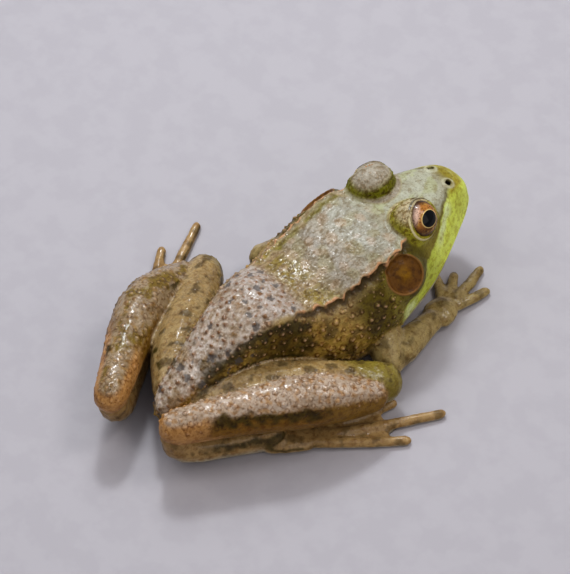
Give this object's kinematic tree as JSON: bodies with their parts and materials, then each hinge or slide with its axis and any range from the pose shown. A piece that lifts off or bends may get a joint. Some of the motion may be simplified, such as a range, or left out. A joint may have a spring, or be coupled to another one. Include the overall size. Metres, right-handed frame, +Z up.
{
  "type": "green frog",
  "caption": "Life-size still model of a green frog in a low crouch, belly on the ground, hind legs folded and toes webbed.",
  "frame": {"origin": "on the ground, under the middle of the breast, on the flat of the belly", "axes": "+Z up, away from the ground; the frog faces -Y, with its snout at the low Y end; +X is the frog's own left"},
  "size_m": [0.071, 0.088, 0.0276],
  "materials": {
    "skin_back": "wet, fine warts",
    "skin_limb": "wet, smooth",
    "skin_throat": "wet, smooth",
    "eye": "wet gloss",
    "eardrum": "smooth"
  },
  "bodies": {
    "root": {"eye_left": "eye", "eardrum_left": "eardrum", "eye_right": "eye", "eardrum_right": "eardrum", "head": "skin_back", "trunk": "skin_back", "lower_jaw": "skin_throat", "thigh_left": "skin_limb", "shank_left": "skin_limb", "tarsus_left": "skin_limb", "foot_left": "skin_limb", "upper_arm_left": "skin_limb", "forearm_left": "skin_limb", "hand_left": "skin_limb", "thigh_right": "skin_limb", "shank_right": "skin_limb", "tarsus_right": "skin_limb", "foot_right": "skin_limb", "upper_arm_right": "skin_limb", "forearm_right": "skin_limb", "hand_right": "skin_limb"}
  },
  "joints": []
}
